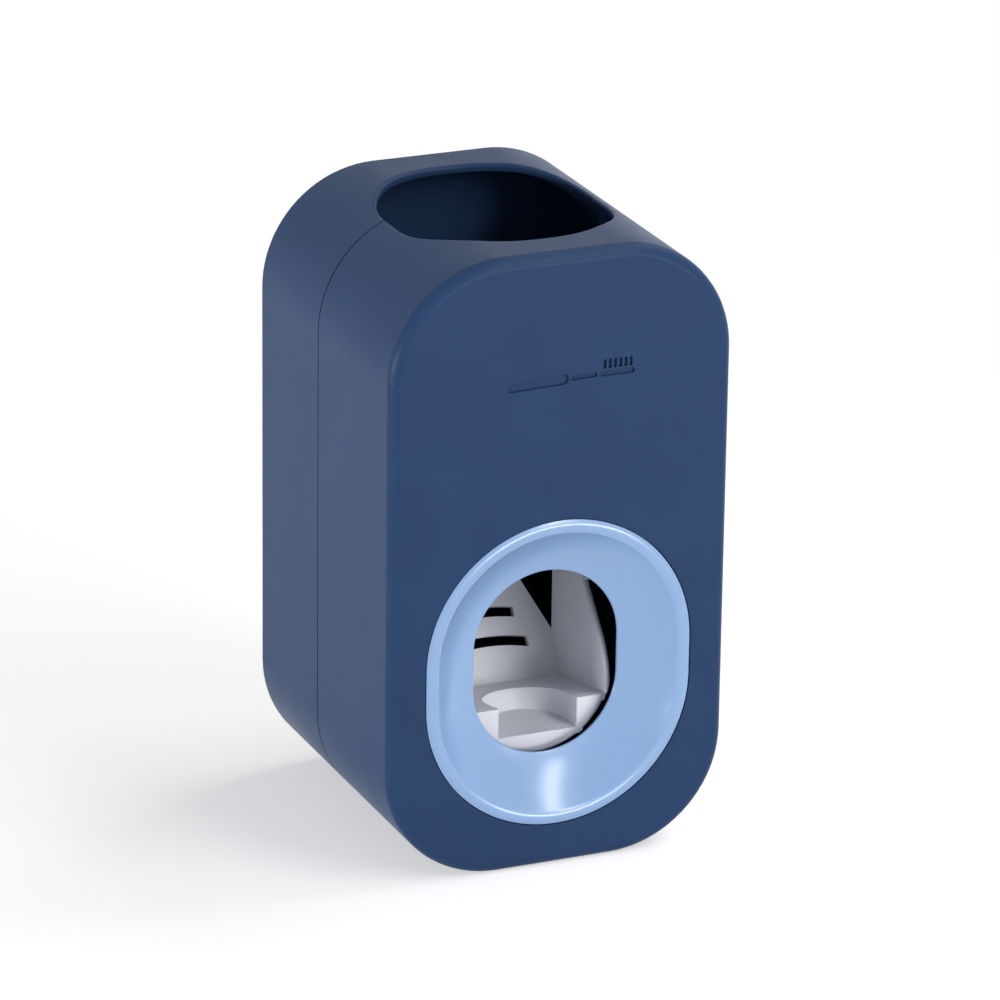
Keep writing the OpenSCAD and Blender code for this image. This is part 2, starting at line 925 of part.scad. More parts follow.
// Floor of the cradle and the bowl under the notch
module cradle_floor() {
    side_slab(-arm_in - 0.1, arm_in + 0.1)
        polygon([
            [cradle_d, floor_z],
            [fold_d, fold_z],
            [fold_d + 0.6, fold_z - 1],
            [fold_d, fold_z - arm_t],
            [cradle_d, floor_z - arm_t]
        ]);
    intersection() {
        notch_prism(arm_t);
        side_slab(-arm_in, arm_in)
            polygon([
                [cradle_d, floor_z - arm_t / 2],
                [fold_d - 1, fold_z - arm_t / 2],
                [fold_d - 1, notch_z - arm_t],
                [cradle_d, notch_z - arm_t]
            ]);
    }
}

module notch_space() {
    intersection() {
        notch_prism(0);
        block(-notch_w - 1, notch_w + 1, cradle_d - 1, fold_d, notch_z, floor_z + 1);
    }
}

module push_lever() {
    color(white)
    difference() {
        union() {
            difference() {
                union() {
                    both_sides() {
                        side_slab(arm_in, arm_out)
                            arm_outline();
                        arm_edge();
                    }
                    cradle_floor();
                }
                scoop_clearance();
            }
            both_sides() {
                rod(arm_in - boss_in, arm_in + 0.5, pivot_d, pivot_z, boss_r);
                // Catch in front of the return spring's leg
                block(
                    arm_out - 0.5, arm_out + catch_w,
                    catch_end - catch_t, catch_end,
                    pivot_z - spring_leg - 0.4, pivot_z - spring_leg + 3.6
                );
            }
            rod(-arm_in - 0.5, arm_in + 0.5, bar_d, bar_z, bar_r);
            grip_plate();
            front_wall();
        }
        rod(-arm_out - 1, arm_out + 1, pivot_d, pivot_z, pin_r + pin_run);
        notch_space();
    }
}

pin_tail = 0.4;
pin_head_t = 1.2;
pin_head_r = pin_r + 1.1;

module lever_pin() {
    color(steel) {
        rod(arm_in - boss_in - pin_tail, cheek_out, pivot_d, pivot_z, pin_r);
        rod(cheek_out, cheek_out + pin_head_t, pivot_d, pivot_z, pin_head_r);
    }
}

// Return spring: a leg under the platform, three turns round the pin and a leg behind the catch
spring_turns = 3;
leg_angle = 120;
coil_angle = 180 + 360 * spring_turns - leg_angle;
coil_x0 = cheek_in - wire_r - fit;
coil_x1 = coil_x0 - coil_step * coil_angle / 360;
leg_up = (deck_z - wire_r - fit - pivot_z - coil_r * sin(leg_angle)) / -cos(leg_angle);
spring_path = concat(
    [[
        coil_x0,
        pivot_d + coil_r * cos(leg_angle) + leg_up * sin(leg_angle),
        pivot_z + coil_r * sin(leg_angle) - leg_up * cos(leg_angle)
    ]],
    [
        for (i = [0:8 * coil_angle / 360])
            let (a = leg_angle + i * 45)
            [coil_x0 - coil_step * i / 8, pivot_d + coil_r * cos(a), pivot_z + coil_r * sin(a)]
    ],
    [[coil_x1, pivot_d - coil_r, pivot_z], [coil_x1, pivot_d - coil_r, pivot_z - spring_leg]]
);

function unit(v) = v / norm(v);
function wire_ring(path, k) =
    let (
        n = len(path) - 1,
        ahead = path[min(k + 1, n)] - path[k],
        behind = path[k] - path[max(k - 1, 0)],
        way = unit((k == 0 ? ahead : unit(behind)) + (k == n ? behind : unit(ahead))),
        side = [1, 0, 0] - way[0] * way,
        u = unit(side),
        v = cross(way, u)
    )
    [for (j = [0:5]) path[k] + wire_r * (u * cos(60 * j) + v * sin(60 * j))];

module lever_spring() {
    color(steel)
    translate([0, front_y, 0])
        swept([for (k = [0:len(spring_path) - 1]) wire_ring(spring_path, k)]);
}
coil_gap = coil_step - 2 * wire_r;
echo(coil_gap = coil_gap);

module lever_pin_right() {
    lever_pin();
}

module lever_pin_left() {
    mirror([1, 0, 0])
        lever_pin();
}

module lever_spring_right() {
    lever_spring();
}

module lever_spring_left() {
    mirror([1, 0, 0])
        lever_spring();
}

// Pump

tube_low = bracket_z - 1;
tube_bore = pump_r - pump_t;
seat_skirt = 3.5;
port_r = 0.9;
port_ring = 2.5;
stem_r = 0.7;
flap_r = 4.2;

module pump_tube() {
    color(silicone)
    pump_axis(0)
        rotate_extrude()
            polygon([
                [tube_bore - 0.6, tube_low],
                [neck_out, tube_low],
                [neck_out, bracket_top],
                [pump_r, bracket_top + 0.6],
                [pump_r, deck_z - tube_flange_t - 0.8],
                [tube_flange_r, deck_z - tube_flange_t],
                [tube_flange_r, deck_z],
                [tube_bore, deck_z],
                [tube_bore, bracket_top + 1.4],
                [tube_bore - 0.6, bracket_top]
            ]);
}

// Plug with four ports between the inlet cup and the pump tube
module valve_seat() {
    color(white)
    pump_axis(0)
        difference() {
            rotate_extrude()
                polygon([
                    [0, deck_z - seat_skirt],
                    [tube_bore - pin_fit, deck_z - seat_skirt],
                    [tube_bore - pin_fit, deck_z],
                    [deck_hole_r - pin_fit, deck_z],
                    [deck_hole_r - pin_fit, deck_top],
                    [throat_r + 0.6, deck_top],
                    [throat_r, deck_top - 1],
                    [0, deck_top - 1]
                ]);
            translate([0, 0, deck_z - seat_skirt - 1])
                cylinder(h = seat_skirt + deck_t, r = stem_r + 0.05);
            for (a = [45:90:315])
                rotate([0, 0, a])
                    translate([port_ring, 0, deck_z - seat_skirt - 1])
                        cylinder(h = seat_skirt + deck_t, r = port_r);
        }
}

// Umbrella shaped flap below the ports, held by its own stem
module inlet_valve() {
    color(silicone)
    pump_axis(0)
        rotate_extrude()
            polygon([
                [0, deck_z - seat_skirt - 1.6],
                [2.4, deck_z - seat_skirt - 1.4],
                [flap_r, deck_z - seat_skirt - 0.6],
                [flap_r, deck_z - seat_skirt - 0.1],
                [2.2, deck_z - seat_skirt - 0.3],
                [stem_r, deck_z - seat_skirt - 0.3],
                [stem_r, deck_top - 1],
                [1.3, deck_top - 0.9],
                [1.1, deck_top - 0.3],
                [0, deck_top]
            ]);
}

cup_floor = deck_top + cup_flange_t;
cup_top = cup_floor + neck_len + 1.5;

module inlet_cup() {
    color(silicone)
    pump_axis(0)
        rotate_extrude()
            polygon([
                [throat_r, deck_top],
                [cup_flange_r, deck_top],
                [cup_flange_r, cup_floor],
                [cup_out, cup_floor],
                [cup_out, cup_top - 0.6],
                [cup_out - 0.6, cup_top],
                [neck_r + adapter_t + fit / 2, cup_top],
                [neck_r + adapter_t + fit / 2, cup_floor],
                [throat_r, cup_floor]
            ]);
}

// Sleeve that grips the neck of the toothpaste tube
module neck_adapter() {
    color(white)
    pump_axis(0)
        rotate_extrude()
            polygon([
                [neck_r, cup_floor],
                [neck_r + adapter_t, cup_floor],
                [neck_r + adapter_t, cup_top],
                [neck_r + adapter_t + 1.2, cup_top],
                [neck_r + adapter_t + 1.2, cup_top + 1],
                [neck_r + 1.6, cup_top + 1],
                [neck_r, cup_floor + neck_len]
            ]);
}

collar_t = 1.6;
collar_r = cup_flange_r + 1.2;

module inlet_collar() {
    color(white)
    pump_axis(0)
        difference() {
            union() {
                translate([0, 0, cup_floor])
                    cylinder(h = collar_t, r = collar_r);
                translate([0, 0, deck_top])
                    cylinder(h = cup_flange_t + eps, r = collar_r);
                for (side = [-1, 1])
                    translate([0, side * collar_screw_d, deck_top])
                        cylinder(h = cup_flange_t + collar_t, r = collar_ear_r);
            }
            translate([0, 0, deck_top - 1])
                cylinder(h = cup_flange_t + 1, r = cup_flange_r + pin_fit);
            translate([0, 0, deck_top - 1])
                cylinder(h = cup_flange_t + collar_t + 2, r = cup_out + pin_fit);
            for (side = [-1, 1])
                translate([0, side * collar_screw_d, deck_top - 1])
                    cylinder(h = cup_flange_t + collar_t + 2, r = collar_screw_r + fit);
        }
}

nozzle_t = 1.4;
nozzle_r = neck_out + nozzle_t;
bill_h = 2.4;
bill_r = 3.4;
slit_w = 2.6;
slit_t = 0.3;
collar_low = 1.6;
collar_web = 0.8;

// Duckbill nozzle pushed over the lower end of the pump tube
module outlet_nozzle() {
    low = bracket_z - nozzle_len;
    color(silicone)
    pump_axis(0)
        difference() {
            rotate_extrude()
                polygon([
                    [0, low],
                    [1.6, low],
                    [bill_r, low + bill_h],
                    [nozzle_r, low + bill_h],
                    [nozzle_r, bracket_z],
                    [neck_out + pin_fit, bracket_z],
                    [neck_out + pin_fit, tube_low - 0.05],
                    [2.2, tube_low - 0.05],
                    [0.6, low + 1]
                ]);
            translate([-slit_w / 2, -slit_t / 2, low - 1])
                cube([slit_w, slit_t, bill_h]);
        }
}

module nozzle_collar() {
    low = bracket_z - nozzle_len + collar_low;
    color(white)
    pump_axis(0)
        difference() {
            translate([0, 0, low])
                cylinder(h = bracket_z - low, r = bracket_r);
            translate([0, 0, low + collar_web])
                cylinder(h = bracket_z - low, r = nozzle_r + pin_fit);
            translate([0, 0, low - 1])
                cylinder(h = collar_web + 2, r = bill_r + pin_run + fit);
        }
}

collar_screw_len = 7;
collar_head_r = 1.9;
collar_head_t = 1.2;

module collar_screws() {
    color(steel)
    for (side = [-1, 1])
        translate([0, pump_y + side * collar_screw_d, cup_floor + collar_t])
            difference() {
                union() {
                    translate([0, 0, -collar_screw_len])
                        cylinder(h = collar_screw_len, r = collar_screw_r);
                    cylinder(h = collar_head_t, r = collar_head_r);
                }
                translate([0, 0, collar_head_t])
                    cross_recess(collar_head_r);
            }
}

// Wall mount

mount_z = (stud_low + stud_high) / 2;
plate_d = body_d + mount_gap;
mount_corner = 10;
stud_head_t = 1.4;
pad_inset = 1.5;

module wall_plate() {
    color(white) {
        slab(plate_d, plate_d + mount_t)
            translate([0, mount_z])
                rounded_rect(mount_w, mount_h, mount_corner);
        for (x = [-stud_x, stud_x], z = [stud_low, stud_high]) {
            stud(x, z, back_inner - fit, plate_d + eps, stud_r);
            stud(x, z, back_inner - fit - stud_head_t, back_inner - fit, stud_head_r);
        }
    }
}

module adhesive_pad() {
    color([0.9, 0.9, 0.86])
    slab(plate_d + mount_t, plate_d + mount_t + pad_t)
        translate([0, mount_z])
            rounded_rect(mount_w - 2 * pad_inset, mount_h - 2 * pad_inset, mount_corner - pad_inset);
}

front_shell();
bezel_funnel();
rear_shell();
inner_frame();
frame_screws();
push_lever();
lever_pin_left();
lever_pin_right();
lever_spring_left();
lever_spring_right();
pump_tube();
valve_seat();
inlet_valve();
inlet_cup();
neck_adapter();
inlet_collar();
collar_screws();
outlet_nozzle();
nozzle_collar();
wall_plate();
adhesive_pad();
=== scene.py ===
"""Toothpaste squeezer: finishes, soft parts, threads, sign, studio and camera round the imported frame."""

import json
import math

import bmesh
import bpy
from mathutils import Matrix, Quaternion, Vector
from mathutils.kdtree import KDTree


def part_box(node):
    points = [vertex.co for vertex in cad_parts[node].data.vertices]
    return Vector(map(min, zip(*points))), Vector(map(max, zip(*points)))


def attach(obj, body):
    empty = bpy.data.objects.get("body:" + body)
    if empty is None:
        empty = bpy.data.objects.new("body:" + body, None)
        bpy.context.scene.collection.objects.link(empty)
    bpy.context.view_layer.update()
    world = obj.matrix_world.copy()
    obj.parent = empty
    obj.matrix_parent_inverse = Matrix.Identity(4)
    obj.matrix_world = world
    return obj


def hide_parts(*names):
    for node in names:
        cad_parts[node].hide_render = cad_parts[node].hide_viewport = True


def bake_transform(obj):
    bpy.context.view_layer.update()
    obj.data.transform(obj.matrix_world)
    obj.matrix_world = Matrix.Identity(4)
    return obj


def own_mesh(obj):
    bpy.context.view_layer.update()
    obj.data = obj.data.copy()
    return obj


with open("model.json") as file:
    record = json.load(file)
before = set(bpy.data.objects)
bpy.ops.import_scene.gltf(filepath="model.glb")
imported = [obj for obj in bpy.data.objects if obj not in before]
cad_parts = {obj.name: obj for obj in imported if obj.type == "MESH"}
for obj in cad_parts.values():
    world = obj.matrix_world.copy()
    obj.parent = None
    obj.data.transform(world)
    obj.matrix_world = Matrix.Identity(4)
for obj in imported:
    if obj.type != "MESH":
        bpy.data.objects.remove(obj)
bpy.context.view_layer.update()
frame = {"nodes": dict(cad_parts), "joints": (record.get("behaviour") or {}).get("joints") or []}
nodes = frame["nodes"]
MM = 0.001

# Places worked out from the frame
shell_low, shell_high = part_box("front_shell")
FRONT_Y = shell_low.y
BODY_H = shell_high.z
tube_low, tube_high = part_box("pump_tube")
PUMP_Y = (tube_low.y + tube_high.y) / 2
lever_joint = next(j for j in frame["joints"] if j["name"] == "lever_swing")
PIVOT = Vector(lever_joint["pos_m"])


def scene_object(name, mesh):
    """A new object in the scene for a mesh."""
    obj = bpy.data.objects.new(name, mesh)
    bpy.context.scene.collection.objects.link(obj)
    return obj


def mesh_object(name, vertices, faces, sharp=35):
    """A closed mesh object, smooth except at edges sharper than the angle in degrees."""
    mesh = bpy.data.meshes.new(name)
    mesh.from_pydata([tuple(v) for v in vertices], [], faces)
    mesh.update()
    tidy_mesh(mesh)
    mesh.shade_smooth()
    mesh.set_sharp_from_angle(angle=math.radians(sharp))
    return scene_object(name, mesh)


def tidy_mesh(mesh, gap=1e-7):
    """Joins the vertices that lie together and turns all faces outwards."""
    bm = bmesh.new()
    bm.from_mesh(mesh)
    bmesh.ops.remove_doubles(bm, verts=bm.verts, dist=gap)
    bmesh.ops.recalc_face_normals(bm, faces=bm.faces)
    bm.to_mesh(mesh)
    bm.free()
    mesh.update()


def tube_faces(rings, sides, closed=False):
    """Quads between rings of equally many points, with both ends capped unless the tube is closed."""
    faces = []
    for k in range(rings if closed else rings - 1):
        for i in range(sides):
            a = k * sides
            b = (k + 1) % rings * sides
            j = (i + 1) % sides
            faces.append((a + i, a + j, b + j, b + i))
    if not closed:
        faces.append(tuple(range(sides - 1, -1, -1)))
        faces.append(tuple((rings - 1) * sides + i for i in range(sides)))
    return faces


def lathe(name, profile, centre, steps=96):
    """A ring of closed section, given as (radius, height), turned about the upright line through centre."""
    vertices = []
    for k in range(steps):
        angle = 2 * math.pi * k / steps
        for radius, height in profile:
            place = Vector((radius * math.cos(angle), radius * math.sin(angle), height))
            vertices.append(centre + place)
    return mesh_object(name, vertices, tube_faces(steps, len(profile), closed=True))


def carry_normals(source, result, near=0.9, gap=1e-6):
    """Gives the corners of a cut mesh the normals that they had before, and new ones their face's own."""
    tree = KDTree(len(source.loops))
    facing = {}
    for face in source.polygons:
        for corner, vertex in zip(face.loop_indices, face.vertices):
            tree.insert(source.vertices[vertex].co, corner)
            facing[corner] = face.normal
    tree.balance()
    normals = []
    for face in result.polygons:
        for vertex in face.vertices:
            found = [corner for _, corner, _ in tree.find_range(result.vertices[vertex].co, gap)]
            best = max(found, key=lambda corner: facing[corner].dot(face.normal), default=None)
            known = best is not None and facing[best].dot(face.normal) > near
            normals.append(source.corner_normals[best].vector if known else face.normal)
    result.normals_split_custom_set(normals)


def cut_mesh(source, cutter, sharp=32):
    """The mesh of source with cutter taken out of it. The cutter is removed."""
    body = scene_object("cut_body", source.copy())
    tidy_mesh(body.data)
    modifier = body.modifiers.new("cut", "BOOLEAN")
    modifier.operation = "DIFFERENCE"
    modifier.solver = "MANIFOLD"
    modifier.object = cutter
    bpy.context.view_layer.update()
    result = bpy.data.meshes.new_from_object(body.evaluated_get(bpy.context.evaluated_depsgraph_get()))
    result.shade_smooth()
    result.set_sharp_from_angle(angle=math.radians(sharp))
    bpy.data.objects.remove(body)
    bpy.data.objects.remove(cutter)
    return result


# Finishes


class Finish:
    """A material under construction, with its texture coordinates in the object's own metres."""

    def __init__(self, name):
        self.material = bpy.data.materials.new(name)
        self.material.use_nodes = True
        self.tree = self.material.node_tree
        self.tree.nodes.clear()
        self.shader = self.tree.nodes.new("ShaderNodeBsdfPrincipled")
        output = self.tree.nodes.new("ShaderNodeOutputMaterial")
        self.link(self.shader.outputs["BSDF"], output.inputs["Surface"])
        self.place = self.tree.nodes.new("ShaderNodeTexCoord").outputs["Object"]

    def link(self, source, target):
        self.tree.links.new(source, target)

    def set(self, **values):
        for key, value in values.items():
            self.shader.inputs[key.replace("_", " ")].default_value = value

    def stretched(self, x, y, z):
        """Texture coordinates scaled along each axis."""
        mapping = self.tree.nodes.new("ShaderNodeMapping")
        mapping.inputs["Scale"].default_value = (x, y, z)
        self.link(self.place, mapping.inputs["Vector"])
        return mapping.outputs["Vector"]

    def noise(self, size, detail=2.0, place=None):
        """Noise whose features are about the size given, in metres."""
        texture = self.tree.nodes.new("ShaderNodeTexNoise")
        texture.inputs["Scale"].default_value = 1 / size
        texture.inputs["Detail"].default_value = detail
        self.link(place or self.place, texture.inputs["Vector"])
        return texture.outputs["Fac"]

    def cells(self, size):
        """Distance to the nearest cell centre, for cells of the size given."""
        texture = self.tree.nodes.new("ShaderNodeTexVoronoi")
        texture.inputs["Scale"].default_value = 1 / size
        self.link(self.place, texture.inputs["Vector"])
        return texture.outputs["Distance"]

    def ranged(self, source, low, high, start=0.3, end=0.7):
        """A value from low to high as the source goes from start to end."""
        node = self.tree.nodes.new("ShaderNodeMapRange")
        node.inputs["From Min"].default_value = start
        node.inputs["From Max"].default_value = end
        node.inputs["To Min"].default_value = low
        node.inputs["To Max"].default_value = high
        self.link(source, node.inputs["Value"])
        return node.outputs["Result"]

    def colour(self, source, low, high, start=0.3, end=0.7):
        """Base colour that varies from low to high with the source."""
        ramp = self.tree.nodes.new("ShaderNodeValToRGB")
        ramp.color_ramp.elements[0].position = start
        ramp.color_ramp.elements[1].position = end
        ramp.color_ramp.elements[0].color = (*low, 1)
        ramp.color_ramp.elements[1].color = (*high, 1)
        self.link(source, ramp.inputs["Fac"])
        self.link(ramp.outputs["Color"], self.shader.inputs["Base Color"])

    def roughness(self, source, low, high):
        self.link(self.ranged(source, low, high), self.shader.inputs["Roughness"])

    def bump(self, source, depth):
        """Relief of the depth given, in metres, on top of any relief made before."""
        node = self.tree.nodes.new("ShaderNodeBump")
        node.inputs["Distance"].default_value = depth
        node.inputs["Strength"].default_value = 1
        self.link(source, node.inputs["Height"])
        before = self.shader.inputs["Normal"].links
        if before:
            self.link(before[0].from_socket, node.inputs["Normal"])
        self.link(node.outputs["Normal"], self.shader.inputs["Normal"])


def shade(colour, amount):
    return tuple(c * amount for c in colour)


def shell_plastic():
    """Navy plastic from a fine spark eroded mould, matt, with faint flow marks."""
    finish = Finish("shell_plastic")
    navy = (0.0226, 0.0514, 0.126)
    finish.colour(finish.noise(14 * MM, 3), shade(navy, 0.96), shade(navy, 1.04))
    finish.roughness(finish.noise(5 * MM, 3), 0.33, 0.38)
    finish.bump(finish.noise(0.35 * MM, 3), 0.003 * MM)
    finish.set(Specular_IOR_Level=0.07)
    return finish.material


def bezel_plastic():
    """Light blue plastic with a polished face and a trace of orange peel.

    Its roughness stays constant: a varying one leaves marks under the clear face.
    """
    finish = Finish("bezel_plastic")
    sky = (0.226, 0.376, 0.646)
    finish.colour(finish.noise(11 * MM), shade(sky, 0.985), shade(sky, 1.015), start=0.1, end=0.9)
    finish.bump(finish.noise(3 * MM), 0.003 * MM)
    finish.set(Roughness=0.28, Specular_IOR_Level=0.5, Coat_Weight=0.9, Coat_Roughness=0.2)
    return finish.material


def white_plastic():
    """Satin white moulded plastic with a faint grain."""
    finish = Finish("white_plastic")
    white = (0.79, 0.80, 0.86)
    finish.colour(finish.noise(8 * MM, 3), shade(white, 0.97), white)
    finish.roughness(finish.noise(2 * MM, 3), 0.36, 0.46)
    finish.bump(finish.noise(0.5 * MM, 3), 0.008 * MM)
    finish.set(Specular_IOR_Level=0.45)
    return finish.material


def silicone():
    """Milky silicone rubber that light enters a little way, with a dusty skin."""
    finish = Finish("silicone")
    milk = (0.66, 0.68, 0.70)
    finish.colour(finish.noise(4 * MM, 4), shade(milk, 0.93), milk)
    finish.roughness(finish.noise(1.2 * MM, 4), 0.48, 0.64)
    finish.bump(finish.noise(0.6 * MM, 3), 0.01 * MM)
    finish.set(Subsurface_Weight=0.4, Subsurface_Scale=2 * MM, Specular_IOR_Level=0.4)
    finish.set(Subsurface_Radius=(1.0, 0.9, 0.8))
    return finish.material


def steel():
    """Bright drawn steel with fine drawing marks."""
    finish = Finish("steel")
    grey = (0.62, 0.62, 0.64)
    finish.colour(finish.noise(1.5 * MM, 4), shade(grey, 0.9), grey)
    marks = finish.noise(0.25 * MM, 4, finish.stretched(0.15, 1, 1))
    finish.roughness(marks, 0.22, 0.36)
    finish.bump(marks, 0.004 * MM)
    finish.set(Metallic=1.0)
    return finish.material


def foam():
    """Closed cell foam tape, off white, with its cells just showing."""
    finish = Finish("foam")
    cream = (0.80, 0.80, 0.76)
    cells = finish.cells(0.5 * MM)
    finish.colour(cells, cream, shade(cream, 0.86), start=0.1, end=0.8)
    finish.roughness(finish.noise(1 * MM), 0.85, 0.95)
    finish.bump(cells, 0.08 * MM)
    finish.set(Specular_IOR_Level=0.2)
    return finish.material


MAKERS = (shell_plastic, bezel_plastic, white_plastic, silicone, steel, foam)
FINISHES = {make.__name__: make() for make in MAKERS}


def dress(obj, slot):
    """Gives a piece its finish and names the record's slot that it comes from."""
    obj.data.materials.clear()
    obj.data.materials.append(FINISHES[slot])
    return obj


def finish_cad_nodes():
    """Each carried over node keeps its slot's name and gets the finish made for it."""
    for obj in nodes.values():
        for entry in obj.material_slots:
            entry.material = FINISHES[entry.material.name.split(".")[0]]


# Soft and wound parts

PUMP_R = 7 * MM
PUMP_BORE_R = 5.4 * MM
NECK_R = 6 * MM
NECK_BORE_R = 4.8 * MM
BRACKET_TOP = 53 * MM
FLANGE_T = 1.5 * MM
FILLET_H = 0.8 * MM
FILLET_OUT = 0.9 * MM
SHOULDER_H = 1.4 * MM
SHOULDER_SLOPE = 0.6 * MM
TUBE_EDGE = 0.25 * MM


def pump_tube():
    """Silicone tube fixed to the housing: a flange, a neck, and a wall under the lever's bar, built round
    as at rest.
    """
    centre = Vector((0, PUMP_Y, 0))
    flange_r = (tube_high.x - tube_low.x) / 2
    under = tube_high.z - FLANGE_T
    wall_low = BRACKET_TOP + SHOULDER_H
    wall_high = under - FILLET_H
    rounds = 24
    heights = [wall_low + (wall_high - wall_low) * k / rounds for k in range(rounds + 1)]
    wall = [(PUMP_R, z) for z in heights] + [(PUMP_BORE_R, z) for z in heights[::-1]]
    body = lathe("pump_tube_wall", wall, centre)
    flange = lathe(
        "pump_tube_flange",
        [
            (PUMP_BORE_R, wall_high),
            (PUMP_R, wall_high),
            (PUMP_R + FILLET_OUT, wall_high + TUBE_EDGE),
            (flange_r - TUBE_EDGE, under),
            (flange_r, under + TUBE_EDGE),
            (flange_r, tube_high.z - TUBE_EDGE),
            (flange_r - TUBE_EDGE, tube_high.z),
            (PUMP_BORE_R, tube_high.z),
        ],
        centre,
    )
    neck = lathe(
        "pump_tube_neck",
        [
            (NECK_BORE_R, tube_low.z),
            (NECK_R - TUBE_EDGE, tube_low.z),
            (NECK_R, tube_low.z + TUBE_EDGE),
            (NECK_R, BRACKET_TOP),
            (PUMP_R, BRACKET_TOP + SHOULDER_SLOPE),
            (PUMP_R, wall_low),
            (PUMP_BORE_R, wall_low),
            (NECK_BORE_R, BRACKET_TOP),
        ],
        centre,
    )
    for piece in (body, flange, neck):
        dress(piece, "silicone")
        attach(piece, "housing")
        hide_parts("pump_tube")
    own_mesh(body)


WIRE_R = 0.4 * MM
COIL_R = 2.6 * MM
COIL_STEP = 1.25 * MM
LEG_ANGLE = math.radians(120)
COIL_ANGLE = math.radians(1140)
CATCH_LEG = 12.6 * MM
WIRE_SIDES = 12

# Radius and reach of the rings that round off an end of the wire, as shares of its radius
WIRE_DOME = ((0.45, 0.25), (0.85, 0.12))


def wire(name, path):
    """Round wire along a path, with domed ends."""
    rings = []
    last = len(path) - 1
    for k, point in enumerate(path):
        ahead = path[min(k + 1, last)] - path[max(k - 1, 0)]
        way = ahead.normalized()
        u = (Vector((1, 0, 0)) - way.x * way).normalized()
        v = way.cross(u)
        rings.append((point, way, u, v))
    sections = []
    for sign, at in ((-1, 0), (1, last)):
        point, way, u, v = rings[at]
        dome = WIRE_DOME if at == 0 else WIRE_DOME[::-1]
        sections.append([(point + way * sign * WIRE_R * out, u, v, WIRE_R * r) for r, out in dome])
    whole = sections[0] + [(point, u, v, WIRE_R) for point, _, u, v in rings] + sections[1]
    vertices = []
    for point, u, v, radius in whole:
        for j in range(WIRE_SIDES):
            angle = 2 * math.pi * j / WIRE_SIDES
            vertices.append(point + radius * (u * math.cos(angle) + v * math.sin(angle)))
    return mesh_object(name, vertices, tube_faces(len(whole), WIRE_SIDES), sharp=60)


def lever_spring(side):
    """Return spring on one side: a leg under the platform, a coil round the pin, a leg behind the catch."""
    name = "lever_spring_left" if side < 0 else "lever_spring_right"
    low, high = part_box(name)
    outer = (high.x if side > 0 else -low.x) - WIRE_R
    inner = outer - COIL_STEP * COIL_ANGLE / (2 * math.pi)
    leg = (high.z - WIRE_R - PIVOT.z - COIL_R * math.sin(LEG_ANGLE)) / -math.cos(LEG_ANGLE)

    def around(x, angle, beside=0.0):
        y = PIVOT.y + COIL_R * math.cos(angle) + beside * math.sin(angle)
        z = PIVOT.z + COIL_R * math.sin(angle) - beside * math.cos(angle)
        return Vector((side * x, y, z))

    leg_steps = 8
    coil_steps = 120
    catch_steps = 10
    path = [around(outer, LEG_ANGLE, leg * (1 - k / leg_steps)) for k in range(leg_steps)]
    for k in range(coil_steps + 1):
        turned = COIL_ANGLE * k / coil_steps
        path.append(around(outer - COIL_STEP * turned / (2 * math.pi), LEG_ANGLE + turned))
    top = around(inner, math.pi)
    path += [top - Vector((0, 0, CATCH_LEG * k / catch_steps)) for k in range(1, catch_steps + 1)]
    spring = dress(wire(name + "_wire", path), "steel")
    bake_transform(spring)
    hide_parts(name)


# Screws

THREAD_PITCH = 0.9 * MM
THREAD_STEPS = 8
SCREW_SIDES = 24
TIP = 1.4 * MM

# Thread root and blunt end as shares of the shank's radius, and a flank as a share of the pitch
THREAD_ROOT = 0.78
TIP_BLUNT = 0.15
THREAD_FLANK = 0.3

# Radius and height of the head's rings, as shares of its own
HEAD_SHAPE = ((0.94, 0.0), (1.0, 0.12), (1.0, 0.38), (0.93, 0.68), (0.76, 0.9), (0.5, 1.0))

# The cross recess in shares of the head's radius and height, and its scale at the floor and the top
RECESS_REACH = 0.62
RECESS_HALF = 0.15
RECESS_FLOOR = 0.4
RECESS_TOP = 1.2
RECESS_TAPER = (0.8, 1.06)


def thread_radius(along, angle, shank_r):
    """Radius of the shank at a distance under the head: sharp crests on a thinner core."""
    phase = (along / THREAD_PITCH + angle / (2 * math.pi)) % 1
    ridge = max(0, 1 - abs(phase - 0.5) / THREAD_FLANK)
    return shank_r * (THREAD_ROOT + (1 - THREAD_ROOT) * ridge)


def cross_cutter(reach, half, low, high):
    """A cross shaped punch whose sides draw in towards its lower end."""
    plan = []
    for k in range(4):
        turn = Matrix.Rotation(math.pi / 2 * k, 2)
        plan += [turn @ Vector(point) for point in ((half, half), (half, reach), (-half, reach))]
    vertices = []
    for z, scale in zip((low, high), RECESS_TAPER):
        vertices += [(x * scale, y * scale, z) for x, y in plan]
    count = len(plan)
    faces = [(i, (i + 1) % count, count + (i + 1) % count, count + i) for i in range(count)]
    faces.append(tuple(range(count)))
    faces.append(tuple(range(count, 2 * count)))
    return mesh_object("cross_cutter", vertices, faces)


def screw_circle(radius, height):
    """Points (angle, radius, height) of a level circle round the screw."""
    return [(2 * math.pi * i / SCREW_SIDES, radius, height) for i in range(SCREW_SIDES)]


